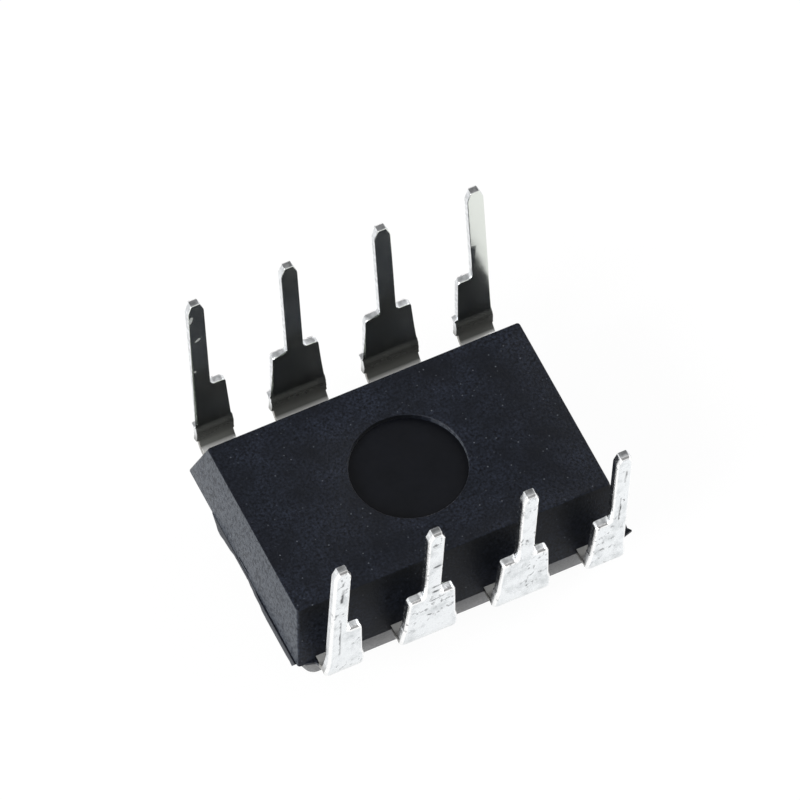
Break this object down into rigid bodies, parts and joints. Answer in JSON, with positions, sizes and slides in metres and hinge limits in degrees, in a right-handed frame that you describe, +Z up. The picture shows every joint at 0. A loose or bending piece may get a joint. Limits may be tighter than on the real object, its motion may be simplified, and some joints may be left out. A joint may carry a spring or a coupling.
{
  "type": "dip integrated circuit chip",
  "caption": "Dual in-line integrated circuit lying on its marked face: drafted black moulded body with two rows of formed, tin-plated leads pointing up.",
  "frame": {"origin": "middle of the marked face, which the chip lies on, at z = 0", "axes": "+X along the body's length, away from the end with the index notch; +Y across the two rows of leads, towards leads 1 to 4; +Z up, out of the underside and along the leads towards their tips"},
  "size_m": [0.0093, 0.0088, 0.0074],
  "materials": {
    "moulding_compound": "transfer-moulded epoxy, fine matt grain",
    "tinned_lead": "tin-plated copper alloy, satin, scratched by the forming tool",
    "bare_frame": "bare copper alloy, stamped",
    "attach_epoxy": "silver-filled epoxy",
    "silicon": "polished silicon",
    "gold_wire": "drawn gold"
  },
  "bodies": {
    "root": {"mould_body": "moulding_compound", "lead_1": "tinned_lead", "lead_2": "tinned_lead", "lead_3": "tinned_lead", "lead_4": "tinned_lead", "lead_5": "tinned_lead", "lead_6": "tinned_lead", "lead_7": "tinned_lead", "lead_8": "tinned_lead", "die_paddle": "bare_frame", "die_attach": "attach_epoxy", "silicon_die": "silicon", "bond_wire_1": "gold_wire", "bond_wire_2": "gold_wire", "bond_wire_3": "gold_wire", "bond_wire_4": "gold_wire", "bond_wire_5": "gold_wire", "bond_wire_6": "gold_wire", "bond_wire_7": "gold_wire", "bond_wire_8": "gold_wire"}
  },
  "joints": []
}
